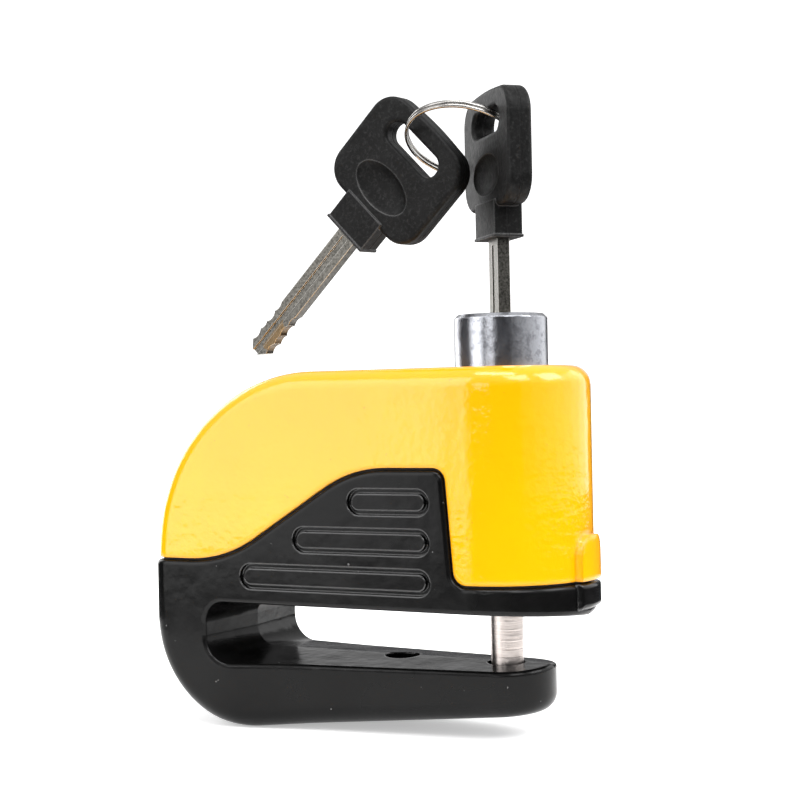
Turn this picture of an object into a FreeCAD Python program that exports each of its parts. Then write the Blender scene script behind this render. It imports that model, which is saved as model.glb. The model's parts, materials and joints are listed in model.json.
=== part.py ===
import FreeCAD, Part

# Disc brake lock with a built-in alarm, its two keys and their ring.
#
# Frame: millimetres, +Z up along the locking pin, +X from the closed end of the disc slot to its
# mouth, -Y the front face.  The origin is the centre of the footprint, at the lowest line.
#
# A die-cast chassis carries the slot, a moulded cover closes it from above, and a round plunger
# with the lock core and the pin slides up and down in the chassis's tube.

import math
import os
import re

import Sketcher
from FreeCAD import Placement, Rotation, Vector

DIMENSIONS = {
    # chassis casting
    "length": 86.0,
    "half_width": 16.5,
    "heel_radius": 20.5,
    "base_angle": 4.9,
    "pin_x": 25.5,
    "split_level": 21.0,
    "jaw_top": 13.4,
    "jaw_tip_radius": 9.0,
    "slot_ceiling": 22.6,
    "slot_end_x": -29.2,
    "slot_draft": 4.5,
    "slot_low_round": 4.0,
    "slot_high_round": 2.8,
    "flange_top": 28.5,
    "shield_foot": 31.6,
    "shield_top": 49.1,
    "shield_slope": 31.7,
    "chassis_wall": 2.6,
    "outer_round": 3.5,
    "edge_round": 0.8,
    "access_x": 3.8,
    "access_radius": 3.5,
    "recess_radius": 3.8,
    "screw_seat": 26.0,
    "boss_radius": 5.0,
    "boss_top": 34.2,
    "tube_radius": 11.8,
    "tube_top": 62.8,
    "bore_floor": 30.5,
    # locating rib on the nose
    "nose_rib_radius": 17.5,
    "nose_rib_width": 9.0,
    "nose_rib_top": 37.1,
    "nose_rib_round": 3.6,
    # grips on the shields
    "grip_start": 1.6,
    "grip_shift": 11.85,
    "grip_end": 18.3,
    "grip_level": 43.4,
    "grip_pitch": 7.15,
    "grip_height": 4.8,
    "grip_groove": 0.9,
    "grip_depth": 1.0,
    # cover
    "cover_top": 67.4,
    "cover_half_width": 16.2,
    "cover_end_x": -42.6,
    "cover_wall": 2.2,
    "cover_shoulder": 34.8,
    "cover_gap": 0.5,
    "cover_hole_radius": 8.95,
    "post_radius": 3.6,
    # plunger
    "plunger_radius": 8.6,
    "plunger_top": 77.0,
    "plunger_foot": 37.2,
    "plunger_travel": 13.6,
    "bore_clearance": 0.09,
    "core_radius": 5.5,
    "core_foot": 46.5,
    "core_inset": 0.3,
    "groove_level": 62.0,
    "keyway_foot": 47.4,
    "keyway_width": 4.9,
    "keyway_thick": 2.8,
    "wafer_pitch": 3.4,
    "wafer_foot": 50.0,
    "pin_radius": 3.0,
    "pin_tip": 10.2,
    "pin_top": 40.3,
    "pin_pocket_radius": 3.75,
    "pin_pocket_floor": 6.4,
    "spring_radius": 6.0,
    "spring_wire": 0.5,
    "bolt_foot": 41.2,
    "bolt_height": 3.0,
    "bolt_reach": 10.6,
    "guide_level": 56.0,
    "seal_height": 2.2,
    # alarm
    "floor_gap": 0.2,
    "tray_thick": 1.2,
    "cell_radius": 5.8,
    "cell_height": 5.4,
    "cell_level": 36.2,
    "board_level": 43.5,
    "board_thick": 1.6,
    # keys
    "key_turn": -45.0,
    "key_level": 90.8,
    "blade_width": 4.5,
    "blade_thick": 2.4,
    "blade_length": 32.2,
    "blade_root": 9.0,
    "head_width": 24.4,
    "head_height": 21.4,
    "head_thick": 4.6,
    "neck_width": 10.0,
    "neck_height": 5.6,
    "neck_thick": 5.4,
    "head_slot_length": 13.6,
    "head_slot_height": 4.5,
    "head_slot_drop": 5.6,
    "thumb_drop": 15.2,
    "dish_half_width": 6.9,
    "dish_half_height": 3.9,
    "dish_depth": 1.1,
    "ring_radius": 10.9,
    "ring_wire": 0.4,
}

doc = FreeCAD.newDocument("disc_brake_lock")
sheet = doc.addObject("Spreadsheet::Sheet", "dims")
for row, (alias, value) in enumerate(DIMENSIONS.items(), start=1):
    sheet.set("A%d" % row, alias)
    sheet.set("B%d" % row, str(value))
    sheet.setAlias("B%d" % row, alias)
doc.recompute()

SIDES = (-1, 1)
FAR = 60.0
pieces = []


# ---------------------------------------------------------------- helpers

def size(alias):
    """A cell's number."""
    return float(sheet.get(alias))


def cells(expression):
    """The expression with each alias in it pointed at the sheet."""
    return re.sub(r"[a-z_]+", lambda m: "dims." + m[0] if m[0] in DIMENSIONS else m[0], str(expression))


def bind(item, **properties):
    """Binds properties to expressions; a double underscore in a name stands for a dot."""
    for name, expression in properties.items():
        item.setExpression(name.replace("__", "."), cells(expression))
    return item


def place(item, x=0, y=0, z=0, rotation=None):
    if rotation:
        item.Placement = Placement(Vector(0, 0, 0), rotation)
    return bind(item, Placement__Base__x=x, Placement__Base__y=y, Placement__Base__z=z)


def cylinder(name, radius, height, x=0, y=0, z=0, rotation=None):
    item = doc.addObject("Part::Cylinder", name)
    bind(item, Radius=radius, Height=height)
    return place(item, x, y, z, rotation)


def box(name, length, width, height, x=0, y=0, z=0):
    """A box centred on x and y that stands on z."""
    item = doc.addObject("Part::Box", name)
    bind(item, Length=length, Width=width, Height=height)
    return place(item, "(%s) - (%s) / 2" % (x, length), "(%s) - (%s) / 2" % (y, width), z)


def fuse(name, *items):
    item = doc.addObject("Part::MultiFuse", name)
    item.Shapes = list(items)
    return item


def common(name, *items):
    item = doc.addObject("Part::MultiCommon", name)
    item.Shapes = list(items)
    return item


def cut(name, base, *tools):
    item = doc.addObject("Part::Cut", name)
    item.Base = base
    item.Tool = tools[0] if len(tools) == 1 else fuse(name + "_tools", *tools)
    return item


def feature(name, shape):
    item = doc.addObject("Part::Feature", name)
    item.Shape = shape
    return item


def group(name, *items):
    """Separate solids that share one node."""
    item = doc.addObject("Part::Compound", name)
    item.Links = list(items)
    return item


def round_edges(name, base, radius, wanted):
    """Rounds those edges of base whose midpoint the function wanted accepts."""
    doc.recompute()
    item = doc.addObject("Part::Fillet", name)
    item.Base = base
    numbered = enumerate(base.Shape.Edges, start=1)
    item.Edges = [(i, radius, radius) for i, e in numbered if not e.Degenerated and wanted(middle(e))]
    doc.recompute()
    return item


def middle(edge):
    return edge.valueAt((edge.FirstParameter + edge.LastParameter) / 2)


def piece(item, label):
    item.Label = label
    pieces.append(item)
    return item


def rounded_path(points, radii):
    """Lines and arcs along the closed polygon of points, each corner rounded to its radius."""
    count = len(points)
    corners = []
    for i, (corner, radius) in enumerate(zip(points, radii)):
        here = Vector(*corner, 0)
        back = (Vector(*points[i - 1], 0) - here).normalize()
        ahead = (Vector(*points[(i + 1) % count], 0) - here).normalize()
        if not radius:
            corners.append((here, None, here))
            continue
        half = back.getAngle(ahead) / 2
        start, end = here + back * (radius / math.tan(half)), here + ahead * (radius / math.tan(half))
        bisector = (back + ahead).normalize()
        crown = here + bisector * (radius / math.sin(half) - radius)
        corners.append((start, crown, end))
    edges = []
    for i, (start, crown, end) in enumerate(corners):
        following = corners[(i + 1) % count][0]
        if crown:
            edges.append(Part.Arc(start, crown, end))
        if not end.isEqual(following, 1e-6):
            edges.append(Part.LineSegment(end, following))
    return edges


def outline(name, edges, rotation=None, base=Vector()):
    """A sketch of a closed chain of lines and arcs, standing outside any body."""
    sketch = doc.addObject("Sketcher::SketchObject", name)
    sketch.Placement = Placement(base, rotation or Rotation())
    numbers = sketch.addGeometry(edges, False)
    for first, second in zip(numbers, numbers[1:] + numbers[:1]):
        ends = {(i, j) for i in (1, 2) for j in (1, 2)
                if sketch.getPoint(first, i).isEqual(sketch.getPoint(second, j), 1e-6)}
        end, start = min(ends, key=lambda pair: (pair[0] != 2, pair[1] != 1))
        sketch.addConstraint(Sketcher.Constraint("Coincident", first, end, second, start))
    return sketch


UPRIGHT = Rotation(Vector(1, 0, 0), 90)


def extrude(name, sketch, length, symmetric=False):
    item = doc.addObject("Part::Extrusion", name)
    item.Base = sketch
    item.DirMode = "Normal"
    item.Solid = True
    item.Symmetric = symmetric
    return bind(item, LengthFwd=length)


def plate(name, points, radii, width):
    """A plate of an outline in X and Z, centred on Y = 0."""
    return extrude(name, outline(name + "_outline", rounded_path(points, radii), UPRIGHT), width, True)


def prism(name, points, radii, foot, height):
    """An upright prism of an outline in X and Y."""
    sketch = outline(name + "_outline", rounded_path(points, radii), base=Vector(0, 0, foot))
    return extrude(name, sketch, height)


def nosed_plan(half_width, nose, start=-FAR):
    """Corners of a plan with parallel sides and a half-round nose about the pin's axis."""
    end = size("pin_x") + nose
    return [(start, -half_width), (end, -half_width), (end, half_width), (start, half_width)]


def body(label):
    item = doc.addObject("PartDesign::Body", label)
    return piece(item, label)


def sketch_on(owner, name, role, lift=0, shift_x=0, shift_y=0):
    """A sketch on one of the body's own origin planes, lifted off it and shifted along it."""
    sketch = owner.newObject("Sketcher::SketchObject", name)
    base_plane = [f for f in owner.Origin.OriginFeatures if f.Role == role]
    sketch.AttachmentSupport = [(base_plane[0], "")]
    sketch.MapMode = "FlatFace"
    bind(sketch, AttachmentOffset__Base__x=shift_x, AttachmentOffset__Base__y=shift_y,
         AttachmentOffset__Base__z=lift)
    return sketch


def constrain(sketch, kind, *arguments, expression=None):
    number = sketch.addConstraint(Sketcher.Constraint(kind, *arguments))
    if expression:
        sketch.setExpression("Constraints[%d]" % number, cells(expression))


def draw_rectangle(sketch, width, height):
    """A rectangle centred on the sketch's origin."""
    corners = [Vector(-1, -1, 0), Vector(1, -1, 0), Vector(1, 1, 0), Vector(-1, 1, 0)]
    sketch.addGeometry([Part.LineSegment(corners[i - 1], corners[i]) for i in (1, 2, 3, 0)], False)
    for i in range(4):
        constrain(sketch, "Coincident", i, 2, (i + 1) % 4, 1)
        constrain(sketch, "Vertical" if i % 2 else "Horizontal", i)
    constrain(sketch, "Symmetric", 0, 1, 1, 2, -1, 1)
    constrain(sketch, "DistanceX", 0, 1, 0, 2, 2.0, expression=width)
    constrain(sketch, "DistanceY", 1, 1, 1, 2, 2.0, expression=height)


def draw_circle(sketch, radius):
    sketch.addGeometry(Part.Circle(Vector(), Vector(0, 0, 1), 1.0), False)
    constrain(sketch, "Coincident", 0, 3, -1, 1)
    constrain(sketch, "Radius", 0, 1.0, expression=radius)


def pad(owner, sketch, length, midplane=False, reversed_=False):
    item = owner.newObject("PartDesign::Pad", sketch.Name + "_pad")
    item.Profile = sketch
    item.SideType = "Symmetric" if midplane else "One side"
    item.Reversed = reversed_
    return bind(item, Length=length)


def pocket(owner, sketch, length, midplane=False, reversed_=False):
    item = owner.newObject("PartDesign::Pocket", sketch.Name + "_pocket")
    item.Profile = sketch
    item.SideType = "Symmetric" if midplane else "One side"
    item.Reversed = reversed_
    return bind(item, Length=length)


# ---------------------------------------------------------------- outlines

HEEL_X = -size("length") / 2
PIN_X = size("pin_x")
SHIELD_CORNERS = [(22.5, "flange_top", 3.0), (20.9, "shield_top", 2.0), (2.6, "shield_top", 25.0),
                  (-25.7, "shield_foot", 28.0)]
JAW_WAISTS = [(-10.5, 13.0, 60.0), (-27.0, 16.5, 30.0)]


def base_level(x):
    """Height of the sloping base under x."""
    radius, slope = size("heel_radius"), math.radians(size("base_angle"))
    return radius - radius / math.cos(slope) + math.tan(slope) * (x - HEEL_X - radius)


def shield_corners(gap):
    """The shield's corners, moved out by the gap, with radii that keep the gap even."""
    lean = math.tan(math.radians(size("shield_slope")) / 2)
    moves = [(gap, -gap), (gap, gap), (-gap * lean, gap), (-gap * lean, -gap)]
    return [((x + move, size(level) + gap), radius + grow)
            for (x, level, radius), (move, grow) in zip(SHIELD_CORNERS, moves)]


def jaw_plan():
    """Plan of the lower jaw: a round tip about the pin, flaring out to the full width."""
    radius = size("jaw_tip_radius")
    (waist_x, waist_y, waist_round), (root_x, root_y, root_round) = JAW_WAISTS
    tip_x = PIN_X + radius
    run, rise = PIN_X - waist_x, waist_y
    flare = math.atan2(rise, run) - math.asin(radius / math.hypot(run, rise))
    tip_y = waist_y - (tip_x - waist_x) * math.tan(flare)
    half = [(tip_x, tip_y, radius), (waist_x, waist_y, waist_round), (root_x, root_y, root_round),
            (-FAR, root_y, 0)]
    corners = half + [(x, -y, r) for x, y, r in reversed(half)]
    return [(x, y) for x, y, _ in corners], [r for _, _, r in corners]


def pin_distance(point):
    return math.hypot(point.x - PIN_X, point.y)


def on_outer_wall(point):
    """True for a point on the casting's outer walls."""
    noses = size("half_width"), size("jaw_tip_radius")
    on_nose = point.x > PIN_X and min(abs(pin_distance(point) - nose) for nose in noses) < 0.02
    return on_nose or abs(point.y) > 10 or point.x < HEEL_X + 0.1


def on_casting_rim(point):
    """True for a point on the slot's rim or on the casting's upper rim."""
    grow = abs(point.y) * math.tan(math.radians(size("slot_draft")))
    above = point.z > size("jaw_top") - grow - 0.05
    in_slot = above and point.z < size("slot_ceiling") + grow + 0.05
    on_slot = in_slot and point.x > size("slot_end_x") - grow - 0.05
    return on_outer_wall(point) and (on_slot or point.z > size("flange_top") - 0.01)


def on_lower_outline(point):
    """True for a point on the heel's round or the base."""
    radius = size("heel_radius")
    on_end = abs(point.x - HEEL_X) < 0.01
    on_heel = abs(math.hypot(point.x - HEEL_X - radius, point.z - radius) - radius) < 0.01
    return on_end or on_heel or abs(point.z - base_level(point.x)) < 0.01


def slot_section(name, y):
    """The disc slot's outline at y; it opens out away from the parting line."""
    grow = abs(y) * math.tan(math.radians(size("slot_draft")))
    low, high, end = size("jaw_top") - grow, size("slot_ceiling") + grow, size("slot_end_x") - grow
    points = [(end, low), (FAR, low), (FAR, high), (end, high)]
    radii = [size("slot_low_round") + grow, 0, 0, size("slot_high_round") + grow]
    return outline(name, rounded_path(points, radii), UPRIGHT, Vector(0, y, 0))


def drafted_slot():
    reach = size("half_width") + 2
    item = doc.addObject("Part::Loft", "slot_tool")
    item.Sections = [slot_section("slot_%d" % i, y) for i, y in enumerate((-reach, 0, reach))]
    item.Solid = True
    item.Ruled = True
    return item


def nose_rib(name, foot, top, radius):
    """An arched rib on the nose, out to its own radius about the pin."""
    half = size("nose_rib_width") / 2
    points = [(-half, foot), (half, foot), (half, top), (-half, top)]
    edges = rounded_path(points, [0, 0, radius, radius])
    sketch = outline(name + "_arch", edges, Rotation(Vector(1, 1, 1), 120), Vector(PIN_X, 0, 0))
    arch = extrude(name + "_bar", sketch, "nose_rib_radius + 5")
    round_bar = cylinder(name + "_round", "nose_rib_radius", FAR, x="pin_x")
    return common(name, arch, round_bar)


# ---------------------------------------------------------------- casings

def upper_casting():
    corners = shield_corners(0)
    points = [(HEEL_X, size("split_level")), (FAR, size("split_level")), (FAR, size("flange_top"))]
    points += [corner for corner, _ in corners] + [(HEEL_X, size("shield_foot"))]
    radii = [0, 0, 0] + [radius for _, radius in corners] + [0]
    side = plate("upper_side", points, radii, 2 * FAR)
    half = size("half_width")
    plan = prism("upper_plan", nosed_plan(half, half), [0, half, half, 0], 0, FAR)
    block = common("upper_block", side, plan)
    return round_edges("upper_rounded", block, size("outer_round"),
                       lambda p: abs(p.x - HEEL_X) < 0.01 and abs(abs(p.y) - half) < 0.01)


def lower_casting():
    split = size("split_level")
    points = [(HEEL_X, base_level(HEEL_X)), (FAR, base_level(FAR)), (FAR, split), (HEEL_X, split)]
    side = plate("lower_side", points, [size("heel_radius"), 0, 0, 0], 2 * FAR)
    plan = prism("lower_plan", *jaw_plan(), -10, FAR)
    block = common("lower_block", side, plan)
    return round_edges("lower_rounded", block, size("outer_round"),
                       lambda p: on_lower_outline(p) and abs(p.y) > 0.01)


def grip_outline(row, inset):
    start = size("grip_start") - row * size("grip_shift") + inset
    end, half = size("grip_end") - inset, size("grip_height") / 2 - inset
    level = size("grip_level") - row * size("grip_pitch")
    return [(start, level - half), (end, level - half), (end, level + half), (start, level + half)], [half] * 4


def grip_grooves():
    """Oval grooves round the three grips of each shield."""
    rings = []
    for row in range(3):
        outer = plate("grip_outer_%d" % row, *grip_outline(row, 0), 2 * FAR)
        inner = plate("grip_inner_%d" % row, *grip_outline(row, size("grip_groove")), 3 * FAR)
        rings.append(cut("grip_ring_%d" % row, outer, inner))
    core = box("grip_core", 3 * FAR, "2 * (half_width - grip_depth)", 3 * FAR, z=-FAR)
    return cut("grip_grooves", fuse("grip_rings", *rings), core)


def cavity(name, half, end_x, foot, top, radius):
    """Room inside a casing: a nosed plan with a flat floor and a flat top."""
    plan = nosed_plan(half, half, end_x)
    return prism(name, plan, [radius, half, half, radius], foot, top - foot)


def flange_rib():
    """The rib on the flange, rounded at its foot and its crown."""
    foot, top = size("slot_ceiling") + 1.4, size("flange_top")
    blank = nose_rib("flange_rib", foot, top, 0)
    return round_edges("flange_rib_soft", blank, size("edge_round"),
                       lambda p: abs(pin_distance(p) - size("nose_rib_radius")) < 0.02 and foot < p.z + 0.01)


def chassis():
    block = fuse("casting_block", upper_casting(), lower_casting())
    slotted = cut("casting_slotted", block, drafted_slot())
    soft = round_edges("casting_soft", slotted, size("edge_round"), on_casting_rim)
    blank = fuse("casting_blank", soft, flange_rib())
    wall = size("chassis_wall")
    hollow = cavity("chassis_hollow", size("half_width") - wall, HEEL_X + wall, size("flange_top"), FAR, 3.0)
    shell = cut("casting_shell", blank, grip_grooves(), hollow)
    tube = cylinder("tube", "tube_radius", "tube_top - flange_top + 1", x="pin_x", z="flange_top - 1")
    boss = cylinder("screw_boss", "boss_radius", "boss_top - flange_top + 1", x="access_x", z="flange_top - 1")
    bore_radius = "plunger_radius + bore_clearance"
    latch_room = box("latch_room", 5, 6.4, "bolt_height + plunger_travel + 0.8",
                     x="pin_x - tube_radius + 2.2", z="bolt_foot - 0.4")
    holes = [
        cylinder("bore", bore_radius, FAR, x="pin_x", z="bore_floor"),
        cylinder("pin_guide", "pin_radius + bore_clearance", "bore_floor - jaw_top", x="pin_x", z="jaw_top + 2"),
        cylinder("pin_pocket", "pin_pocket_radius", "jaw_top", x="pin_x", z="pin_pocket_floor"),
        cylinder("access_hole", "access_radius", "jaw_top + 2", x="access_x", z=-1),
        cylinder("screw_recess", "recess_radius", "screw_seat - jaw_top - 4", x="access_x", z="jaw_top + 4"),
        cylinder("screw_hole", 2.2, FAR, x="access_x", z="jaw_top + 4"),
        cylinder("guide_hole", 1.5, "tube_radius", x="pin_x", z="guide_level",
                 rotation=Rotation(Vector(0, 1, 0), 90)),
        latch_room,
    ]
    return piece(cut("casting", fuse("casting_posts", shell, tube, boss), *holes), "chassis")


def cover_outline(end_x, top, shoulder):
    corners = shield_corners(size("cover_gap"))
    points = [(FAR, size("flange_top") + size("cover_gap")), (FAR, top), (end_x, top),
              (end_x, size("shield_foot") + size("cover_gap"))]
    points += [corner for corner, _ in reversed(corners)]
    radii = [0, 0, shoulder, 0] + [radius for _, radius in reversed(corners)]
    return points, radii


def cover():
    half, top, wall = size("cover_half_width"), size("cover_top"), size("cover_wall")
    end_x, shoulder = size("cover_end_x"), size("cover_shoulder")
    side = plate("cover_side", *cover_outline(end_x, top, shoulder), 2 * FAR)
    plan = prism("cover_plan", nosed_plan(half, half), [0, half, half, 0], 0, 2 * FAR)
    block = common("cover_block", side, plan)
    inner_shoulder = end_x + shoulder, top - shoulder

    def on_top(p):
        on_end = abs(p.x - end_x) < 0.01
        on_shoulder = abs(math.hypot(p.x - inner_shoulder[0], p.z - inner_shoulder[1]) - shoulder) < 0.01
        return (on_end or on_shoulder or abs(p.z - top) < 0.01) and abs(p.y) > 0.01

    rounded = round_edges("cover_rounded", block, size("outer_round"), on_top)
    room = [(FAR, -FAR), (FAR, top - wall), (end_x + wall, top - wall), (end_x + wall, -FAR)]
    inside_side = plate("cover_inside_side", room, [0, 0, shoulder - wall, 0], 2 * FAR)
    inside_half = half - wall
    inside_plan = prism("cover_inside_plan", nosed_plan(inside_half, inside_half),
                        [0, inside_half, inside_half, 0], 0, 2 * FAR)
    inside = common("cover_inside", inside_side, inside_plan)
    rib = nose_rib("cover_rib_blank", size("flange_top") + size("cover_gap"), size("nose_rib_top"),
                   size("nose_rib_round"))
    post_foot = "boss_top + 0.3"
    post = cylinder("cover_post", "post_radius", "cover_top - 1 - (%s)" % post_foot, x="access_x", z=post_foot)
    shell = cut("cover_shell", fuse("cover_solid", rounded, rib), inside)
    screw_room = cylinder("post_hole", 1.9, 14, x="access_x", z="boss_top")
    opening = cylinder("cover_opening", "cover_hole_radius", 20, x="pin_x", z="cover_top - 10")
    return piece(cut("cover_cut", fuse("cover_posts", shell, post), screw_room, opening), "cover")


def cover_gasket():
    """Seal that fills the joint between the cover and the chassis, set a little in."""
    recess, inner = 0.7, 2.0
    half, top = size("cover_half_width") - recess, size("cover_top")
    block = prism("gasket_block", nosed_plan(half, half, size("cover_end_x") + recess),
                  [2.8, half, half, 2.8], size("flange_top") - 1, top)
    hollow = cavity("gasket_hollow", half - inner + recess, size("cover_end_x") + inner + recess,
                    size("flange_top") - 2, 2 * top, 1.5)
    above = plate("gasket_above", *cover_outline(-FAR, 2 * top, 0), 2 * FAR)
    corners = shield_corners(0)
    points = [(-FAR, 0), (FAR, 0), (FAR, size("flange_top"))] + [c for c, _ in corners]
    points.append((-FAR, size("shield_foot")))
    below = plate("gasket_below", points, [0, 0, 0] + [r for _, r in corners] + [0], 2 * FAR)
    return piece(cut("gasket_cut", block, hollow, above, below), "cover_gasket")


def plunger_seal():
    outer = cylinder("seal_outer", "tube_radius - 0.3", "seal_height", x="pin_x", z="tube_top + 0.05")
    inner = cylinder("seal_inner", "plunger_radius + 0.3", 10, x="pin_x", z="tube_top - 2")
    return piece(cut("seal_cut", outer, inner), "plunger_seal")


# ---------------------------------------------------------------- screws

def pan_screw(name, radius, length, head_radius, head_height, x, y, z, upward=False):
    """A screw whose head's seat is at z; it points down unless upward is set."""
    shank_z = z if upward else "%s - %s" % (z, length)
    head_z = "%s - %s" % (z, head_height) if upward else z
    drive_z = head_z if upward else "%s + %s" % (z, head_height / 2)
    shank = cylinder(name + "_shank", radius, length, x=x, y=y, z=shank_z)
    head = cylinder(name + "_head", head_radius, head_height, x=x, y=y, z=head_z)
    bars = []
    for i, (length_x, width_y) in enumerate(((1.1, 0.3), (0.3, 1.1))):
        bars.append(box(name + "_drive_%d" % i, length_x * head_radius, width_y * head_radius,
                        head_height / 2, x=x, y=y, z=drive_z))
    return cut(name, fuse(name + "_solid", shank, head), *bars)


def cover_screw():
    return piece(pan_screw("long_screw", 1.9, 21.5, 3.2, 2.6, "access_x", 0, "screw_seat",
                           upward=True), "cover_screw")


def guide_screw():
    """Grub screw through the tube's wall into the plunger's guide slot."""
    across = Rotation(Vector(0, 1, 0), 90)
    thread = cylinder("grub_thread", 1.5, 3.0, x="pin_x + plunger_radius + bore_clearance", z="guide_level",
                      rotation=across)
    nose = cylinder("grub_nose", 1.3, 1.8, x="pin_x + 7.1", z="guide_level", rotation=across)
    socket = box("grub_socket", 2, 1.4, 1.4, x="pin_x + tube_radius", z="guide_level - 0.7")
    return piece(cut("grub_cut", fuse("grub_solid", thread, nose), socket), "guide_screw")


# ---------------------------------------------------------------- plunger

def cylinder_barrel():
    barrel = body("cylinder_barrel")
    outside = sketch_on(barrel, "barrel_round", "XY_Plane", "plunger_foot", "pin_x")
    draw_circle(outside, "plunger_radius")
    solid = pad(barrel, outside, "plunger_top - plunger_foot")
    doc.recompute()
    chamfer = barrel.newObject("PartDesign::Chamfer", "barrel_rim")
    edges = enumerate(solid.Shape.Edges, start=1)
    chamfer.Base = (solid, ["Edge%d" % i for i, e in edges if e.BoundBox.ZMin > size("plunger_top") - 0.01])
    chamfer.Size = 0.7
    room = sketch_on(barrel, "core_bore", "XY_Plane", "plunger_top", "pin_x")
    draw_circle(room, "core_radius + bore_clearance")
    pocket(barrel, room, "plunger_top - core_foot")
    socket = sketch_on(barrel, "pin_socket", "XY_Plane", "plunger_foot", "pin_x")
    draw_circle(socket, "pin_radius")
    pocket(barrel, socket, "pin_top - plunger_foot", reversed_=True)
    tail = sketch_on(barrel, "tail_hole", "XY_Plane", "core_foot", "pin_x")
    draw_circle(tail, 3.6)
    pocket(barrel, tail, "core_foot - bolt_foot")
    guide = sketch_on(barrel, "guide_slot", "XY_Plane", "guide_level - plunger_travel - 1.9",
                      "pin_x + plunger_radius")
    draw_rectangle(guide, 4.0, 3.2)
    pocket(barrel, guide, "plunger_travel + 3.8", reversed_=True)
    bolt = sketch_on(barrel, "bolt_room", "XY_Plane", "bolt_foot - 0.3", "pin_x - 2.9")
    draw_rectangle(bolt, 17.4, 9.2)
    pocket(barrel, bolt, "bolt_height + 0.6", reversed_=True)
    dowel = sketch_on(barrel, "dowel_hole", "XZ_Plane", 0, "pin_x + core_radius - 0.3", "groove_level")
    draw_circle(dowel, 0.7)
    pocket(barrel, dowel, "2 * plunger_radius + 2", midplane=True)
    cross = sketch_on(barrel, "cross_hole", "XZ_Plane", 0, "pin_x", "plunger_foot + 1.5")
    draw_circle(cross, 0.75)
    pocket(barrel, cross, "2 * plunger_radius + 2", midplane=True)
    magnet = sketch_on(barrel, "magnet_hole", "YZ_Plane", "pin_x - 9", 0, "groove_level - 16")
    draw_circle(magnet, 1.5)
    pocket(barrel, magnet, 3.2, reversed_=True)
    return barrel


def locking_pin():
    pin = cylinder("pin_round", "pin_radius", "pin_top - pin_tip", x="pin_x", z="pin_tip")
    tapered = round_edges("pin_tip_round", pin, 0.6, lambda p: abs(p.z - size("pin_tip")) < 0.01)
    hole = cylinder("pin_cross_hole", 0.75, 20, x="pin_x", y=10, z="plunger_foot + 1.5", rotation=UPRIGHT)
    return piece(cut("pin_drilled", tapered, hole), "locking_pin")


def dowel(label, radius, x, z):
    """A pin across the barrel, along Y, as long as the barrel is wide there."""
    across = cylinder(label + "_round", radius, 20, x=x, y=10, z=z, rotation=UPRIGHT)
    limit = cylinder(label + "_limit", "plunger_radius - 0.3", FAR, x="pin_x", z=30)
    return piece(common(label, across, limit), label)


def plunger_spring():
    """Five turns of round wire round the pin, between the bore's floor and the barrel's foot."""
    wire, radius, turns, gap = size("spring_wire"), size("spring_radius"), 5, 0.05
    room = size("plunger_foot") - size("bore_floor") - 2 * (wire + gap)
    pitch = room / turns
    helix = Part.Wire(Part.makeLongHelix(pitch, room, radius))
    along = Vector(0, 2 * math.pi * radius, pitch)
    section = Part.Wire(Part.makeCircle(wire, Vector(radius, 0, 0), along))
    item = feature("spring_coil", helix.makePipeShell([section], True, True))
    place(item, x="pin_x", z="bore_floor + spring_wire + %g" % gap)
    return piece(item, "plunger_spring")


def latch_bolt():
    reach = size("bolt_reach")
    nose = box("bolt_nose", 6, 5.6, "bolt_height", x=PIN_X - reach + 3, z="bolt_foot")
    frame_ = box("bolt_frame", 8.4, 8.6, "bolt_height", x=PIN_X - 1.2, z="bolt_foot")
    window = box("bolt_window", 4.2, 6.2, 20, x=PIN_X - 1.4, z="bolt_foot - 5")
    return piece(cut("bolt_cut", fuse("bolt_solid", nose, frame_), window), "latch_bolt")


# ---------------------------------------------------------------- lock core

TURN = Rotation(Vector(0, 0, 1), size("key_turn"))
WAFERS = 7


def lock_core():
    top = "plunger_top - core_inset"
    plug = cylinder("plug", "core_radius", "%s - core_foot - 0.1" % top, z="core_foot + 0.1")
    face = round_edges("plug_face", plug, 0.35,
                       lambda p: abs(p.z - size("plunger_top") + size("core_inset")) < 0.01)
    keyway = box("keyway", "keyway_width", "keyway_thick", FAR, z="keyway_foot")
    mouth = box("keyway_mouth", "keyway_width + 0.8", "keyway_thick + 0.8", 2, z="%s - 0.4" % top)
    ring = cylinder("groove_ring", 10, 2.0, z="groove_level - 1")
    waist = cylinder("groove_waist", 4.1, FAR, z=30)
    slots = [box("wafer_slot_%d" % i, 8.8, 5.8, 1.0, z="wafer_foot - 0.1 + %d * wafer_pitch" % i)
             for i in range(WAFERS) if i != 3]
    core = cut("core_cut", face, keyway, mouth, cut("core_groove", ring, waist), *slots)
    return piece(place(core, x="pin_x", rotation=TURN), "lock_core")


def core_wafers():
    plates = []
    for i in range(WAFERS):
        if i == 3:
            continue
        blank = box("wafer_blank_%d" % i, 8.6, 5.6, 0.8, z="wafer_foot + %d * wafer_pitch" % i)
        window = box("wafer_window_%d" % i, "keyway_width + 0.5", "keyway_thick + 0.3", FAR, z=30)
        plates.append(cut("wafer_%d" % i, blank, window))
    return piece(place(group("wafers", *plates), x="pin_x", rotation=TURN), "core_wafers")


def latch_cam():
    disc = cylinder("cam_disc", 3.3, "core_foot - bolt_foot - bolt_height - 0.3", z="bolt_foot + bolt_height + 0.4")
    stub = cylinder("cam_stub", 0.8, "bolt_height", x=-2.0, z="bolt_foot + 1")
    return piece(place(fuse("cam", disc, stub), x="pin_x"), "latch_cam")


# ---------------------------------------------------------------- alarm

BOARD_X = -17.5
POSTS = [(x, y) for x in (-31.5, -3.5) for y in (-11.3, 11.3)]


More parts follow.
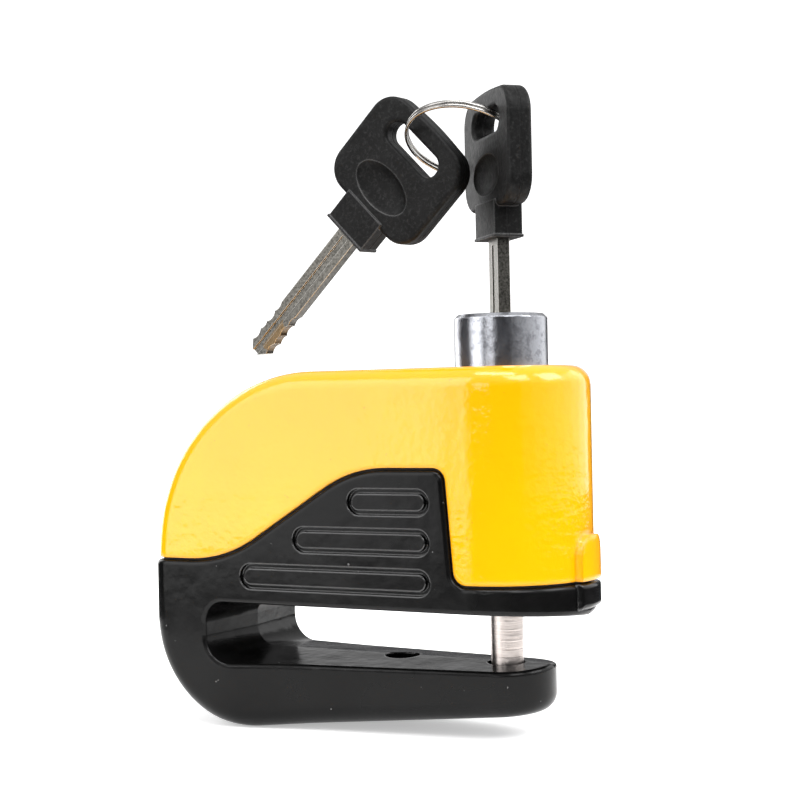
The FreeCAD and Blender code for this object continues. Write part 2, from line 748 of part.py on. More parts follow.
def alarm_tray():
    foot = "flange_top + floor_gap"
    floor = box("tray_floor", 34, 25, "tray_thick", x=-19.2, z=foot)
    walls = [box("tray_wall_%d" % i, 30, 1.2, 6, x=-19.5, y=side * 11.6, z=foot)
             for i, side in enumerate(SIDES)]
    posts = [cylinder("tray_post_%d" % i, 1.7, "board_level - flange_top - floor_gap", x=x, y=y, z=foot)
             for i, (x, y) in enumerate(POSTS)]
    holes = [cylinder("post_hole_%d" % i, 0.8, 5, x=x, y=y, z="board_level - 4")
             for i, (x, y) in enumerate(POSTS)]
    return piece(cut("tray_cut", fuse("tray_solid", floor, *walls, *posts), *holes), "alarm_tray")


def button_cells():
    """Two stacks of three cells, lying across the housing."""
    cells_ = []
    for x in (-30.6, -18.4):
        for i in (-1, 0, 1):
            name = "cell_%d_%d" % (-x, i + 1)
            y = "%d * (cell_height + 0.05) + cell_height / 2" % i
            cell = cylinder(name, "cell_radius", "cell_height", x=x, y=y, z="cell_level", rotation=UPRIGHT)
            cells_.append(cell)
    return piece(group("cells", *cells_), "button_cells")


def battery_contacts():
    leaves = [box("leaf_%d" % i, 20, 0.5, 7, x=-24.5, y=side * 9.2, z="cell_level - 3.5")
              for i, side in enumerate(SIDES)]
    return piece(group("leaves", *leaves), "battery_contacts")


def circuit_board():
    board = box("board", 32, 26.4, "board_thick", x=BOARD_X, z="board_level")
    holes = [cylinder("board_hole_%d" % i, 0.9, 6, x=x, y=y, z="board_level - 2")
             for i, (x, y) in enumerate(POSTS)]
    return piece(cut("board_cut", board, *holes), "circuit_board")


def board_screws():
    screws = [pan_screw("board_screw_%d" % i, 0.8, 4.5, 1.6, 1.0, x, y, "board_level + board_thick")
              for i, (x, y) in enumerate(POSTS)]
    return piece(group("board_screw_set", *screws), "board_screws")


def buzzer():
    top = "board_level + board_thick"
    can = cylinder("buzzer_can", 8.5, 7, x=-13.5, z=top)
    edge = round_edges("buzzer_edge", can, 0.8, lambda p: p.z > size("board_level") + 8)
    sound = cylinder("buzzer_hole", 1.2, 4, x=-13.5, z="%s + 5" % top)
    return piece(cut("buzzer_cut", edge, sound), "buzzer")


def motion_sensor():
    can = cylinder("sensor_can", 2.3, 9, x=-27.5, y=4.5, z="board_level + board_thick + 2.3", rotation=UPRIGHT)
    return piece(round_edges("sensor_edge", can, 0.5, lambda p: abs(abs(p.y) - 4.5) < 0.01), "motion_sensor")


def reed_switch():
    glass = cylinder("reed_glass", 1.2, 12, x=10.2, y=6, z="groove_level - 16", rotation=UPRIGHT)
    return piece(round_edges("reed_ends", glass, 0.8, lambda p: abs(abs(p.y) - 6) < 0.01), "reed_switch")


def arming_magnet():
    magnet = cylinder("magnet", 1.5, 2.4, x="pin_x - 8.2", z="groove_level - 16",
                      rotation=Rotation(Vector(0, 1, 0), 90))
    return piece(magnet, "arming_magnet")


# ---------------------------------------------------------------- keys

def stadium(name, length, height, level, thick):
    """A flat bar with round ends along X."""
    half = height / 2
    points = [(-length / 2, level - half), (length / 2, level - half),
              (length / 2, level + half), (-length / 2, level + half)]
    return plate(name, points, [half * 0.98] * 4, thick)


def key_head_solid(name):
    """A moulded head on its neck; the neck's foot is the origin and the blade leaves it downwards."""
    neck, height, width = size("neck_height"), size("head_height"), size("head_width") / 2
    crown = neck + height
    points = [(-width, neck), (width, neck), (width, crown - 0.4), (0, crown + 0.4), (-width, crown - 0.4)]
    paddle = plate(name + "_paddle", points, [5.0, 5.0, 5.2, 60, 5.2], size("head_thick"))
    soft = round_edges(name + "_soft", paddle, 0.9, lambda p: abs(abs(p.y) - size("head_thick") / 2) < 0.01)
    stem = box(name + "_neck", "neck_width", "neck_thick", "neck_height + 1.2")
    collar = box(name + "_collar", "neck_width + 0.4", "neck_thick + 0.4", 0.5)
    slot = stadium(name + "_slot", size("head_slot_length"), size("head_slot_height"),
                   crown - size("head_slot_drop"), 20)
    dish_level = crown - size("thumb_drop")
    dishes = []
    for i, side in enumerate(SIDES):
        ball = doc.addObject("Part::Ellipsoid", name + "_dish_%d" % i)
        bind(ball, Radius1="dish_half_height", Radius2="dish_half_width", Radius3="dish_depth + 0.3")
        place(ball, y="%d * (head_thick / 2 + 0.3)" % side, z=dish_level)
        dishes.append(ball)
    seat = box(name + "_seat", "blade_width", "blade_thick", "blade_root + 1", z=-1)
    blank = cut(name + "_blank", fuse(name + "_solid", soft, stem, collar), slot, seat, *dishes)
    slot_level, reach = crown - size("head_slot_drop"), size("head_slot_length") / 2 + 0.1
    return round_edges(name, blank, 0.8,
                       lambda p: abs(abs(p.y) - size("head_thick") / 2) < 0.01 and abs(p.x) < reach
                       and abs(p.z - slot_level) < size("head_slot_height") / 2 + 0.1)


def key_blade_solid(name):
    """A flat blade with a groove down both faces and cuts in both edges towards its tip."""
    half, length = size("blade_width") / 2, size("blade_length")
    taper = [(-half + 1.4, -length), (half - 1.4, -length), (half, -length + 1.6)]
    points = taper + [(half, size("blade_root")), (-half, size("blade_root")), (-half, -length + 1.6)]
    blank = plate(name + "_blank", points, [0.3, 0.3, 0.5, 0, 0, 0.5], size("blade_thick"))
    grooves = [box(name + "_groove_%d" % i, 1.3, 0.8, "blade_length + 2", y=side * (size("blade_thick") / 2),
                   z="-blade_length - 3") for i, side in enumerate(SIDES)]
    cuts = []
    for i, (level, depth) in enumerate(((3.0, 0.45), (5.6, 0.3), (8.0, 0.55), (10.6, 0.35))):
        for side in SIDES:
            notch_radius = 2.2
            notch = cylinder("%s_cut_%d_%d" % (name, i, side + 1), notch_radius, 10,
                             x=side * (half + notch_radius - depth), y=5, z=level - length, rotation=UPRIGHT)
            cuts.append(notch)
    return cut(name, blank, *grooves, *cuts)


def inserted_key():
    for label, solid in (("key_head", key_head_solid("head_a")), ("key_blade", key_blade_solid("blade_a"))):
        piece(place(solid, x="pin_x", z="key_level", rotation=TURN), label)


SPARE_AT = Vector(-7.0, 2.1, 94.2)
SPARE_TURN = Rotation(0.3, 46.5, 3.5)
RING_AT = Vector(17.9, 1.8, 109.9)
RING_NORMAL = Vector(-0.03, 0.485, 0.874)


def spare_key():
    for label, solid in (("spare_key_head", key_head_solid("head_b")),
                         ("spare_key_blade", key_blade_solid("blade_b"))):
        solid.Placement = Placement(SPARE_AT, SPARE_TURN)
        piece(solid, label)


def key_ring():
    """Two coils of round wire, one on the other."""
    coils = []
    for i, side in enumerate(SIDES):
        coil = doc.addObject("Part::Torus", "coil_%d" % i)
        bind(coil, Radius1="ring_radius", Radius2="ring_wire")
        coil.Placement = Placement(Vector(0, 0, side * size("ring_wire") * 0.96), Rotation())
        coils.append(coil)
    ring = fuse("ring_coils", *coils)
    ring.Placement = Placement(RING_AT, Rotation(Vector(0, 0, 1), RING_NORMAL))
    return piece(ring, "key_ring")


# ---------------------------------------------------------------- build

chassis()
cover()
cover_gasket()
plunger_seal()
cover_screw()
guide_screw()
cylinder_barrel()
locking_pin()
dowel("pin_retainer", 0.75, "pin_x", "plunger_foot + 1.5")
dowel("core_dowel", 0.7, "pin_x + core_radius - 0.3", "groove_level")
plunger_spring()
latch_bolt()
lock_core()
core_wafers()
latch_cam()
alarm_tray()
button_cells()
battery_contacts()
circuit_board()
board_screws()
buzzer()
motion_sensor()
reed_switch()
arming_magnet()
inserted_key()
spare_key()
key_ring()

doc.recompute()
for item in doc.Objects:
    if "Invalid" in item.State or "Error" in item.State:
        raise SystemExit("%s failed: %s" % (item.Name, item.State))

os.makedirs("parts", exist_ok=True)
for item in pieces:
    if item.Shape.isNull() or not item.Shape.isValid():
        raise SystemExit("%s has no valid shape" % item.Label)
    item.Shape.exportStep("parts/%s.step" % item.Label)
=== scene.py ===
import json
import math

import bmesh
import bpy
from mathutils import Matrix, Vector


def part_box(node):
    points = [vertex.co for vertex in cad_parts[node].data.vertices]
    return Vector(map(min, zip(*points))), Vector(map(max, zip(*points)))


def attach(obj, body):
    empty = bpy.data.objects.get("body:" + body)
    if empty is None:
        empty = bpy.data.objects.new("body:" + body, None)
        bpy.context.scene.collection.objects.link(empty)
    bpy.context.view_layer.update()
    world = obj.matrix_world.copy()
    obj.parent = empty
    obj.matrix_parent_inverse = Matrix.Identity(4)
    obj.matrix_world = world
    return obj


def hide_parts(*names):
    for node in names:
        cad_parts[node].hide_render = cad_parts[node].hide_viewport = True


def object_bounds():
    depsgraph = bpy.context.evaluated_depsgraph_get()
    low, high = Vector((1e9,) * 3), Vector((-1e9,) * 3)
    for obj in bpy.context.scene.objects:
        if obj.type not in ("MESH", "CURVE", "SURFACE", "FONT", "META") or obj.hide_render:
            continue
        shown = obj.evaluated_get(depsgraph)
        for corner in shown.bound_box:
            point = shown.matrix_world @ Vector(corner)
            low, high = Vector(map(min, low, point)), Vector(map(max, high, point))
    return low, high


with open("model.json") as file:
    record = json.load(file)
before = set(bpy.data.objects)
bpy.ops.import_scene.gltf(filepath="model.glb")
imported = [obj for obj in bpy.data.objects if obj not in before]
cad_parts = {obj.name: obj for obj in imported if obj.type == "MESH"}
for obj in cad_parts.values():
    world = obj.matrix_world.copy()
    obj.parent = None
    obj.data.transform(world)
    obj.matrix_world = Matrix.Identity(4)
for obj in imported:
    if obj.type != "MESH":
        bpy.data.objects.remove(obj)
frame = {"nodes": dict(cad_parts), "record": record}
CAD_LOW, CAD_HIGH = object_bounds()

MM = 0.001
SLOT_OF = {part["node"]: part["material_slot"] for part in frame["record"]["subparts"]}

BARREL_LOW, BARREL_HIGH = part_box("cylinder_barrel")
PIN_X = (BARREL_LOW.x + BARREL_HIGH.x) / 2

# camera: degrees, and metres from the pin's axis and the floor; lens and sensor in millimetres
VIEW_AZIMUTH = 28.35
VIEW_ROLL = 1.19
VIEW_DISTANCE = 0.28614
VIEW_SIDE = -0.01877
VIEW_HEIGHT = 0.0617
LENS = 70.1
SENSOR = 36.0

# bare brass on the free key's blade, along and across the blade from the low corner of its box
BRASS_START = 4.4 * MM
BRASS_END = 11.5 * MM
BRASS_ASIDE = 0.2 * MM
BRASS_WOBBLE = 3 * MM

# each key head's middle plane: a point on it and its normal
HEAD_MIDDLE, HEAD_NORMAL = Vector((PIN_X, 0, 0)), Vector((1, 1, 0)).normalized()
SPARE_MIDDLE, SPARE_NORMAL = Vector((-7.0, 2.1, 94.2)) * MM, Vector((0.0391, 0.9983, 0.0420))

# split ring: its axis, mean radius and seam, how far its coils lie from its middle plane, the
# angle from the seam to the wire's ends, and the wire's half sizes outward and along the axis
RING_AXIS = Vector((-0.03, 0.485, 0.874)).normalized()
RING_RADIUS = 10.9 * MM
RING_SEAM = math.radians(-62)
COIL_LIFT = 0.385 * MM
WIRE_OPEN = math.radians(16)
WIRE_HALF = (0.33 * MM, 0.365 * MM)
WIRE_SQUARED = 0.7     # 1 is an ellipse, less is closer to a rectangle
WIRE_TIP = 0.55        # size of the wire's ends, next to the rest of it

# floor and backdrop, in metres from the middle of the object
NEAR_FLOOR = 0.16      # the object mirrors the paper up to here and is lit by it
GLOW_START, GLOW_END = 0.08, 0.7
BOWL_START, BOWL_CURVE, BOWL_TOP = 1.1, 0.9, 1.6


# ---------------------------------------------------------------- node helpers

def grey(value):
    return value, value, value, 1


def set_ramp(node, low, high, first, last):
    """Gives a colour ramp its two places and colours."""
    for stop, place, colour in zip(node.color_ramp.elements, (low, high), (first, last)):
        stop.position = place
        stop.color = colour


class Shader:
    """A material's node tree with a Principled shader, built up one node at a time."""

    def __init__(self, name, **inputs):
        self.material = bpy.data.materials.new(name)
        self.material.use_nodes = True
        self.tree = self.material.node_tree
        self.surface = self.tree.nodes["Principled BSDF"]
        for socket, value in inputs.items():
            self.surface.inputs[socket.replace("_", " ")].default_value = value
        self.where = self.add("ShaderNodeTexCoord").outputs["Object"]

    def add(self, kind, **settings):
        node = self.tree.nodes.new(kind)
        for key, value in settings.items():
            setattr(node, key, value)
        return node

    def feed(self, node, **values):
        """Sets a node's inputs, by name or by number as in _0, each from a socket or a plain value."""
        for key, value in values.items():
            socket = node.inputs[int(key[1:]) if key[1:].isdigit() else key.replace("_", " ")]
            if isinstance(value, bpy.types.NodeSocket):
                self.tree.links.new(value, socket)
            else:
                socket.default_value = value
        return node

    def stretch(self, scale):
        node = self.add("ShaderNodeMapping")
        self.feed(node, Vector=self.where, Scale=scale)
        return node.outputs["Vector"]

    def noise(self, scale, detail=3.0, rough=0.5, vector=None):
        """Noise of 0..1 with about this many spots to the metre."""
        node = self.add("ShaderNodeTexNoise")
        self.feed(node, Vector=vector or self.where, Scale=scale, Detail=detail, Roughness=rough)
        return node.outputs["Fac"]

    def ramp(self, fac, low, high, first=grey(0), last=grey(1)):
        node = self.add("ShaderNodeValToRGB")
        set_ramp(node, low, high, first, last)
        self.feed(node, Fac=fac)
        return node.outputs["Color"]

    def spread(self, fac, low, high):
        """Maps 0..1 to low..high."""
        node = self.add("ShaderNodeMapRange")
        self.feed(node, Value=fac, To_Min=low, To_Max=high)
        return node.outputs["Result"]

    def mix(self, fac, first, second):
        node = self.add("ShaderNodeMix", data_type="RGBA")
        self.feed(node, _0=fac, _6=first, _7=second)
        return node.outputs[2]

    def maths(self, operation, first, second=0.0):
        node = self.add("ShaderNodeMath", operation=operation)
        self.feed(node, _0=first, _1=second)
        return node.outputs[0]

    def tint(self, base, mask, share, colour):
        """Lays this share of a colour over the base where the mask is 1."""
        return self.mix(self.maths("MULTIPLY", mask, share), base, colour)

    def dot(self, first, second):
        node = self.add("ShaderNodeVectorMath", operation="DOT_PRODUCT")
        self.feed(node, _0=first, _1=second)
        return node.outputs["Value"]

    def reach(self, point, way):
        """How far the surface lies from a point in one direction, in metres."""
        return self.maths("SUBTRACT", self.dot(self.where, tuple(way)), point.dot(way))

    def soft_edges(self, radius, normal):
        """Rounds the shading of sharp edges by the radius; normal carries the finer relief."""
        bevel = self.add("ShaderNodeBevel", samples=6)
        self.feed(bevel, Radius=radius, Normal=normal)
        return bevel.outputs["Normal"]

    def near_edges(self, radius):
        """1 close to a sharp edge or a small round, 0 on flat and broad surfaces."""
        rounded = self.feed(self.add("ShaderNodeBevel", samples=6), Radius=radius).outputs["Normal"]
        flat = self.add("ShaderNodeNewGeometry").outputs["Normal"]
        return self.ramp(self.dot(rounded, flat), 0.955, 0.998, grey(1), grey(0))

    def bump(self, height, strength, distance, normal=None):
        node = self.add("ShaderNodeBump")
        self.feed(node, Height=height, Strength=strength, Distance=distance)
        if normal:
            self.feed(node, Normal=normal)
        return node.outputs["Normal"]

    def surface_from(self, **sockets):
        self.feed(self.surface, **sockets)
        return self.material


# ---------------------------------------------------------------- materials

def yellow_paint():
    """Gloss paint with orange peel, a few specks of dust and faint clouding."""
    s = Shader("yellow_paint", Coat_Weight=0.3, Coat_Roughness=0.03)
    shade = s.ramp(s.noise(45, 4), 0.3, 0.75, (0.89, 0.39, 0.0, 1), (0.92, 0.425, 0.0, 1))
    specks = s.ramp(s.noise(650, 2, 0.6), 0.73, 0.76)
    fine_peel = s.bump(s.noise(800, 2), 0.30, 0.2 * MM)
    peel = s.bump(s.noise(330, 2), 0.22, 0.4 * MM, fine_peel)
    waves = s.bump(s.noise(1.0, 3, 0.5, s.stretch((60, 60, 260))), 0.10, 1.0 * MM, peel)
    return s.surface_from(Base_Color=s.tint(shade, specks, 0.5, (0.50, 0.27, 0.01, 1)),
                          Roughness=s.spread(s.noise(200), 0.05, 0.12),
                          Normal=s.soft_edges(1.3 * MM, waves))


def black_paint():
    """Gloss paint over a slightly uneven casting, with more shine along its edges."""
    s = Shader("black_paint")
    shade = s.ramp(s.noise(60, 4), 0.3, 0.8, grey(0.002), grey(0.006))
    specks = s.ramp(s.noise(700, 2, 0.6), 0.755, 0.77)
    peel = s.bump(s.noise(420, 2), 0.12, 0.3 * MM)
    waves = s.bump(s.noise(85, 3), 0.14, 1.4 * MM, peel)
    return s.surface_from(Base_Color=s.tint(shade, specks, 0.5, grey(0.25)),
                          Roughness=s.spread(s.noise(240, 4), 0.10, 0.24),
                          Specular_IOR_Level=s.spread(s.near_edges(0.5 * MM), 0.15, 1.0),
                          Normal=s.soft_edges(0.4 * MM, waves))


def rubber():
    """Matt rubber with a fine grain."""
    s = Shader("black_rubber", Specular_IOR_Level=0.3)
    return s.surface_from(Base_Color=s.ramp(s.noise(300), 0.3, 0.7, grey(0.008), grey(0.02)),
                          Roughness=s.spread(s.noise(500), 0.6, 0.8),
                          Normal=s.bump(s.noise(1500), 0.3, 0.2 * MM))


def metal(name, dark, light, low, high, grain=(400, 400, 400), depth=0.12, edge=0.2 * MM):
    """Bare or plated metal: two colours, two roughnesses, fine marks along its grain, soft edges."""
    s = Shader(name, Metallic=1.0)
    marks = s.noise(1.0, 4, 0.6, s.stretch(grain))
    broad = s.noise(80, 4)
    both = s.maths("ADD", s.maths("MULTIPLY", marks, 0.5), s.maths("MULTIPLY", broad, 0.5))
    normal = s.bump(marks, depth, 0.2 * MM)
    return s.surface_from(Base_Color=s.ramp(both, 0.35, 0.65, (*dark, 1), (*light, 1)),
                          Roughness=s.spread(marks, low, high),
                          Normal=s.soft_edges(edge, normal) if edge else normal)


def chrome_plate():
    """Polished plate with small scuffs and a slightly wavy surface."""
    s = Shader("chrome_plate", Metallic=1.0)
    scuffs = s.noise(1.0, 5, 0.7, s.stretch((300, 300, 120)))
    spots = s.ramp(s.noise(520, 5, 0.75), 0.50, 0.62)
    waves = s.bump(s.noise(130, 3), 0.10, 1.0 * MM)
    relief = s.bump(scuffs, 0.20, 0.3 * MM, waves)
    return s.surface_from(Base_Color=s.tint((0.42, 0.43, 0.46, 1), spots, 0.55, (0.15, 0.15, 0.17, 1)),
                          Roughness=s.spread(scuffs, 0.10, 0.36),
                          Normal=s.soft_edges(0.3 * MM, relief))


def brass_at_tip(s):
    """1 where one half of the free key's blade is bare brass, a little above its tip."""
    low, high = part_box("spare_key_blade")
    tip = Vector((low.x, (low.y + high.y) / 2, low.z))
    blade = (Vector((high.x, tip.y, high.z)) - tip).normalized()
    aside = Vector((blade.z, 0, -blade.x))
    wobble = s.maths("MULTIPLY", s.noise(420, 3), BRASS_WOBBLE)
    along = s.maths("ADD", s.reach(tip, blade), wobble)
    above_tip = s.maths("GREATER_THAN", along, BRASS_START)
    below_shaft = s.maths("LESS_THAN", along, BRASS_END)
    on_half = s.maths("GREATER_THAN", s.reach(tip, aside), BRASS_ASIDE)
    return s.maths("MULTIPLY", on_half, s.maths("MULTIPLY", above_tip, below_shaft))


def key_plate():
    """Dull nickel plate with fine pits, and a painted highlight that lightens its colour along the edges.
    """
    s = Shader("key_plate", Metallic=1.0)
    pits = s.noise(2400, 3, 0.7)
    nickel = s.ramp(pits, 0.36, 0.64, (0.045, 0.043, 0.038, 1), (0.16, 0.153, 0.138, 1))
    brass = s.ramp(pits, 0.36, 0.64, (0.09, 0.062, 0.034, 1), (0.17, 0.118, 0.066, 1))
    plated = s.mix(brass_at_tip(s), nickel, brass)
    # painted highlight: the base colour is lightened close to sharp edges and small rounds
    return s.surface_from(Base_Color=s.tint(plated, s.near_edges(0.22 * MM), 0.85, (0.75, 0.73, 0.68, 1)),
                          Roughness=s.spread(pits, 0.24, 0.42),
                          Normal=s.soft_edges(0.2 * MM, s.bump(pits, 0.15, 0.1 * MM)))


def key_plastic(name, point, normal):
    """Moulded plastic with a spark-eroded grain and a mould line round its middle plane."""
    s = Shader(name)
    shade = s.ramp(s.noise(220, 4), 0.3, 0.7, grey(0.002), grey(0.006))
    grains = s.ramp(s.noise(1500, 3, 0.75), 0.50, 0.72)
    line = s.ramp(s.maths("DIVIDE", s.maths("ABSOLUTE", s.reach(point, normal)), MM), 0.12, 0.26)
    step = s.bump(line, 0.6, 0.3 * MM)
    grain = s.bump(s.noise(1700, 2, 0.6), 0.3, 0.2 * MM, step)
    return s.surface_from(Base_Color=s.tint(shade, grains, 0.5, grey(0.035)),
                          Roughness=s.spread(s.noise(900, 3), 0.34, 0.60),
                          Specular_IOR_Level=s.spread(s.near_edges(0.4 * MM), 0.14, 1.0),
                          Normal=s.soft_edges(0.25 * MM, grain))


def moulded(name, dark, light, low, high, **inputs):
    """Plain moulded plastic, board or glass: two colours and two roughnesses."""
    s = Shader(name, **inputs)
    return s.surface_from(Base_Color=s.ramp(s.noise(150, 4), 0.3, 0.7, (*dark, 1), (*light, 1)),
                          Roughness=s.spread(s.noise(600), low, high),
                          Normal=s.bump(s.noise(900), 0.15, 0.2 * MM))


MATERIALS = {
    "yellow_paint": yellow_paint(),
    "black_paint": black_paint(),
    "black_rubber": rubber(),
    "chrome_plate": chrome_plate(),
    "key_plastic": key_plastic("key_plastic", HEAD_MIDDLE, HEAD_NORMAL),
    "key_plate": key_plate(),
    "pin_steel": metal("pin_steel", (0.44, 0.39, 0.37), (0.76, 0.70, 0.66), 0.22, 0.36,
                       grain=(40, 40, 2600), depth=0.35),
    "ring_steel": metal("ring_steel", (0.26, 0.25, 0.24), (0.48, 0.47, 0.45), 0.16, 0.30,
                        depth=0.03, edge=0),
    "plain_steel": metal("plain_steel", (0.40, 0.40, 0.40), (0.62, 0.62, 0.62), 0.25, 0.45),
    "spring_steel": metal("spring_steel", (0.38, 0.38, 0.37), (0.60, 0.60, 0.58), 0.25, 0.45),
    "cell_steel": metal("cell_steel", (0.55, 0.55, 0.55), (0.75, 0.75, 0.75), 0.15, 0.30),
    "magnet_nickel": metal("magnet_nickel", (0.55, 0.54, 0.52), (0.70, 0.69, 0.66), 0.12, 0.25),
    "core_brass": metal("core_brass", (0.42, 0.34, 0.20), (0.66, 0.54, 0.32), 0.25, 0.45),
    "black_plastic": moulded("black_plastic", (0.012, 0.012, 0.012), (0.03, 0.03, 0.03), 0.4, 0.6),
    "board_green": moulded("board_green", (0.01, 0.10, 0.03), (0.02, 0.18, 0.06), 0.25, 0.4),
    "reed_glass": moulded("reed_glass", (0.6, 0.7, 0.6), (0.8, 0.85, 0.8), 0.03, 0.08,
                          Transmission_Weight=0.9, IOR=1.5),
}


def dress_nodes():
    """Gives every carried-over CAD node its slot's material."""
    for node, slot in SLOT_OF.items():
        for entry in frame["nodes"][node].material_slots:
            entry.material = MATERIALS[slot]
    spare = key_plastic("key_plastic_spare", SPARE_MIDDLE, SPARE_NORMAL)
    for entry in frame["nodes"]["spare_key_head"].material_slots:
        entry.material = spare


# ---------------------------------------------------------------- split ring

def smooth_step(value):
    value = min(max(value, 0.0), 1.0)
    return value * value * (3 - 2 * value)


def wire_section(centre, outward, size, corners=14):
    """Points round the wire: a flattened ellipse in the plane of the ring's axis and outward."""
    points = []
    for k in range(corners):
        turn = 2 * math.pi * k / corners
        out, up = (math.copysign(abs(f) ** WIRE_SQUARED, f) * half * size
                   for f, half in zip((math.cos(turn), math.sin(turn)), WIRE_HALF))
        points.append(centre + outward * out + RING_AXIS * up)
    return points


def split_ring(sections=320, tip_sections=4):
    """Two turns of flattened wire that cross from the lower coil to the upper one at the seam."""
    low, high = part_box("key_ring")
    across = RING_AXIS.orthogonal().normalized()
    beside = RING_AXIS.cross(across)
    mesh = bmesh.new()
    loops = []
    for i in range(sections + 1):
        along = WIRE_OPEN + (4 * math.pi - 2 * WIRE_OPEN) * i / sections
        rise = smooth_step((along - 2 * math.pi + WIRE_OPEN) / (2 * WIRE_OPEN)) * 2 - 1
        outward = across * math.cos(along + RING_SEAM) + beside * math.sin(along + RING_SEAM)
        centre = (low + high) / 2 + outward * RING_RADIUS + RING_AXIS * COIL_LIFT * rise
        size = WIRE_TIP + (1 - WIRE_TIP) * smooth_step(min(i, sections - i) / tip_sections)
        loops.append([mesh.verts.new(point) for point in wire_section(centre, outward, size)])
    for first, second in zip(loops, loops[1:]):
        for k, point in enumerate(first):
            n = (k + 1) % len(first)
            mesh.faces.new((point, first[n], second[n], second[k])).smooth = True
    mesh.faces.new(loops[0][::-1])
    mesh.faces.new(loops[-1])
    bmesh.ops.recalc_face_normals(mesh, faces=mesh.faces)
    data = bpy.data.meshes.new("split_ring")
    mesh.to_mesh(data)
    mesh.free()
    data.materials.append(MATERIALS["ring_steel"])
    item = bpy.data.objects.new("split_ring", data)
    bpy.context.collection.objects.link(item)
    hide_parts("key_ring")
    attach(item, "ring")


# ---------------------------------------------------------------- stage

def camera():
    """A level camera on the photograph's side, rolled a little."""
    turn, roll = math.radians(VIEW_AZIMUTH), math.radians(VIEW_ROLL)
    ahead = Vector((-math.sin(turn), math.cos(turn), 0))
    level = Vector((math.cos(turn), math.sin(turn), 0))
    up = Vector((0, 0, 1))
    right = level * math.cos(roll) - up * math.sin(roll)
    top = level * math.sin(roll) + up * math.cos(roll)
    place = Vector((PIN_X, 0, 0)) - ahead * VIEW_DISTANCE + level * VIEW_SIDE + up * VIEW_HEIGHT
    data = bpy.data.cameras.new("camera")
    data.sensor_width, data.lens = SENSOR, LENS
    data.clip_start, data.clip_end = 0.01, 20
    item = bpy.data.objects.new("camera", data)
    axes = Matrix((right, top, -ahead)).transposed().to_4x4()
    item.matrix_world = Matrix.Translation(place) @ axes
    bpy.context.collection.objects.link(item)
    bpy.context.scene.camera = item


def lathed(name, profile, capped, steps=96):
    """A surface turned about the vertical line through the object's middle."""
    turns = [2 * math.pi * i / steps for i in range(steps)]
    mesh = bmesh.new()
    rings = []
    for radius, height in profile:
        places = [(radius * math.cos(turn), radius * math.sin(turn), height) for turn in turns]
        rings.append([mesh.verts.new(place) for place in places])
    for inner, outer in zip(rings, rings[1:]):
        for i in range(steps):
            j = (i + 1) % steps
            mesh.faces.new((inner[i], outer[i], outer[j], inner[j])).smooth = True
    if capped:
        mesh.faces.new(rings[0])
    data = bpy.data.meshes.new(name)
    mesh.to_mesh(data)
    mesh.free()
    item = bpy.data.objects.new(name, data)
    bpy.context.collection.objects.link(item)
    return item


def floor_paper():
    """White paper that glows softly, more so away from the object."""
    s = Shader("floor_paper", Specular_IOR_Level=0.05, Emission_Color=grey(1))
    from_middle = s.add("ShaderNodeVectorMath", operation="LENGTH")
    s.feed(from_middle, _0=s.where)
    glow = s.add("ShaderNodeMapRange")
    s.feed(glow, Value=from_middle.outputs["Value"], From_Min=GLOW_START, From_Max=GLOW_END,
           To_Min=0.42, To_Max=0.74)
    return s.surface_from(Base_Color=s.ramp(s.noise(20), 0.3, 0.7, grey(0.93), grey(0.95)),
                          Roughness=s.spread(s.noise(60), 0.85, 0.95),
                          Emission_Strength=glow.outputs["Result"])


def floor():
    """Paper under the object, and a bowl of the same paper all round it."""
    paper = floor_paper()
    level = CAD_LOW.z - 0.1 * MM
    near = lathed("floor", [(0.02, level), (NEAR_FLOOR, level)], capped=True)
    curve = [(BOWL_START + BOWL_CURVE * math.sin(a), level + BOWL_CURVE - BOWL_CURVE * math.cos(a))
             for a in (math.pi / 2 * i / 16 for i in range(17))]
    wall = [(BOWL_START + BOWL_CURVE, BOWL_TOP)]
    backdrop = lathed("backdrop", [(NEAR_FLOOR, level)] + curve + wall, capped=False)
    for item in (near, backdrop):
        item.data.materials.append(paper)
    backdrop.visible_glossy = False
    backdrop.visible_diffuse = False


def area_light(name, azimuth, elevation, distance, width, height, radiance):
    """A soft box aimed at the object's middle; azimuth 0 is on the -Y side and 90 on the +X side."""
    data = bpy.data.lights.new(name, "AREA")
    data.shape, data.size, data.size_y = "RECTANGLE", width, height
    data.energy = math.pi * width * height * radiance
    item = bpy.data.objects.new(name, data)
    a, e = math.radians(azimuth), math.radians(elevation)
    way = Vector((math.sin(a) * math.cos(e), -math.cos(a) * math.cos(e), math.sin(e)))
    place = (CAD_LOW + CAD_HIGH) / 2 + way * distance
    item.matrix_world = Matrix.Translation(place) @ way.to_track_quat("Z", "Y").to_matrix().to_4x4()
    item.visible_camera = False
    bpy.context.collection.objects.link(item)


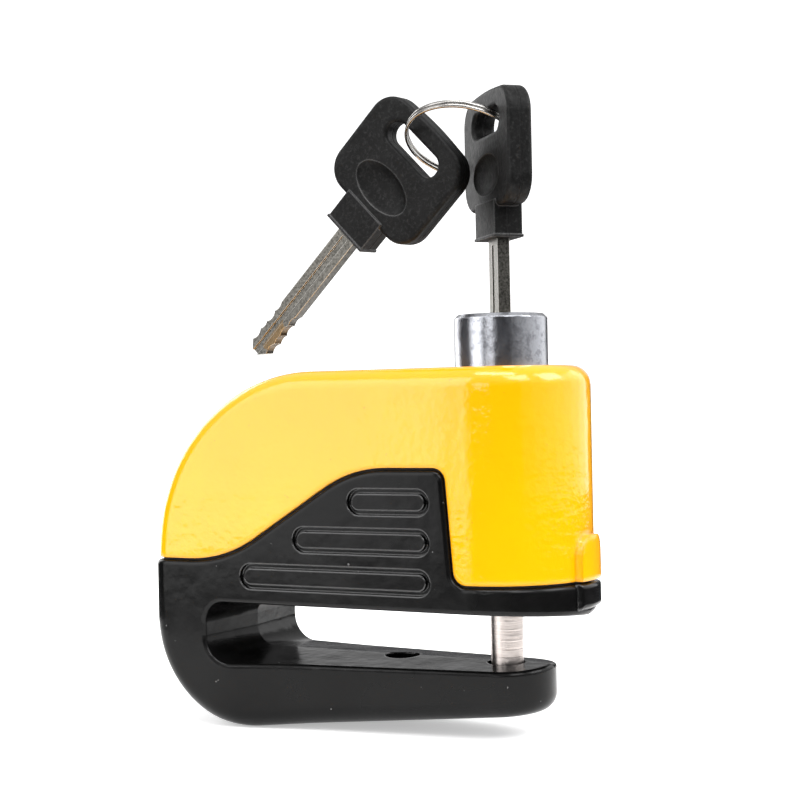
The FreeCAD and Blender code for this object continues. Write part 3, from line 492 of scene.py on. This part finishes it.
def graded_box(name, start, end, elevation, distance, height, first, last, strips):
    """A soft box from one azimuth to another that goes from one radiance to another in strips."""
    step = (end - start) / strips
    width = distance * math.radians(step)
    for i in range(strips):
        radiance = first + (last - first) * i / (strips - 1)
        azimuth = start + (i + 0.5) * step
        area_light(f"{name}_{i}", azimuth, elevation, distance, width, height, radiance)


def room():
    """A world that is dim at and below the horizon and bright overhead."""
    world = bpy.data.worlds.new("studio")
    world.use_nodes = True
    tree = world.node_tree
    toward = tree.nodes.new("ShaderNodeTexCoord").outputs["Generated"]
    split = tree.nodes.new("ShaderNodeSeparateXYZ")
    tree.links.new(toward, split.inputs["Vector"])
    ramp = tree.nodes.new("ShaderNodeValToRGB")
    set_ramp(ramp, 0.1, 0.75, (0.06, 0.06, 0.065, 1), grey(1))
    tree.links.new(split.outputs["Z"], ramp.inputs["Fac"])
    tree.links.new(ramp.outputs["Color"], tree.nodes["Background"].inputs["Color"])
    tree.nodes["Background"].inputs["Strength"].default_value = 1.0
    bpy.context.scene.world = world
    bpy.context.scene.view_settings.view_transform = "Standard"


def lights():
    """Soft boxes in front, at both sides, behind and above."""
    area_light("key_box", azimuth=-39, elevation=18, distance=0.8, width=0.42, height=0.8, radiance=2.9)
    graded_box("key_edge", start=-24.3, end=-15.8, elevation=18, distance=0.8, height=0.8,
               first=2.4, last=0.3, strips=5)
    area_light("left_box", azimuth=-112, elevation=14, distance=0.8, width=0.40, height=0.6, radiance=3.2)
    graded_box("side_box", start=50, end=164, elevation=16, distance=0.8, height=0.6,
               first=0.2, last=1.7, strips=8)
    area_light("fill_box", azimuth=50, elevation=42, distance=0.8, width=0.35, height=0.35, radiance=6.0)
    area_light("fill_right", azimuth=100, elevation=38, distance=0.8, width=0.4, height=0.4, radiance=6.0)
    area_light("rear_box", azimuth=208, elevation=8, distance=0.9, width=0.9, height=0.22, radiance=0.6)
    area_light("top_box", azimuth=10, elevation=72, distance=0.8, width=0.5, height=0.18, radiance=10.0)
    area_light("front_strip", azimuth=-1, elevation=9, distance=0.7, width=0.24, height=0.16, radiance=2.8)


camera()
room()
lights()
floor()
dress_nodes()
split_ring()
